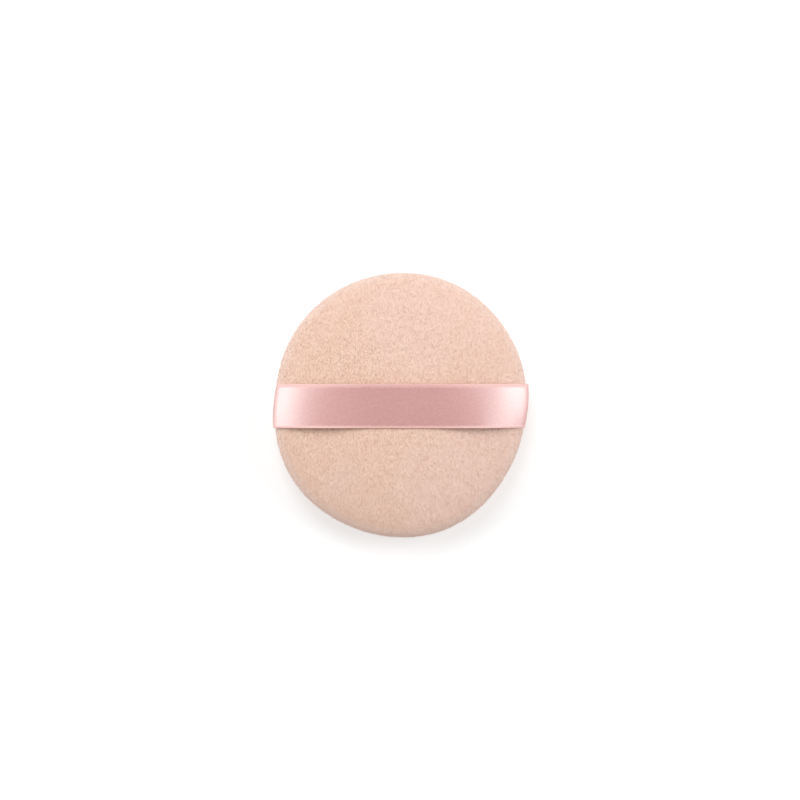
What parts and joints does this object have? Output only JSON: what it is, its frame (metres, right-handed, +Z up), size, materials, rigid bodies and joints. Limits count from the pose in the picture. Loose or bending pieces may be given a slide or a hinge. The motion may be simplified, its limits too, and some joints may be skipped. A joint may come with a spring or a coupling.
{
  "type": "powder puff",
  "caption": "Round padded velour puff for pressing on loose powder, with a satin ribbon across one face for the fingers.",
  "frame": {"origin": "middle of the resting face's box, on the surface that the puff lies on", "axes": "+Z up, from the powder face to the ribbon; +X along the ribbon; +Y across the ribbon, towards the top of the picture"},
  "size_m": [0.0876, 0.0902, 0.0224],
  "materials": {
    "velour": "brushed short-pile velour, peach beige, matt with a soft sheen",
    "foam": "open-cell foam, cream, matt",
    "satin_ribbon": "woven satin ribbon, dusty pink, glossy along its length",
    "sewing_thread": "spun polyester sewing thread, peach"
  },
  "bodies": {
    "root": {"front_cover": "velour", "back_cover": "velour", "foam_core": "foam", "finger_ribbon": "satin_ribbon", "rim_needle_thread": "sewing_thread", "rim_bobbin_thread": "sewing_thread", "closing_thread": "sewing_thread"}
  },
  "joints": []
}
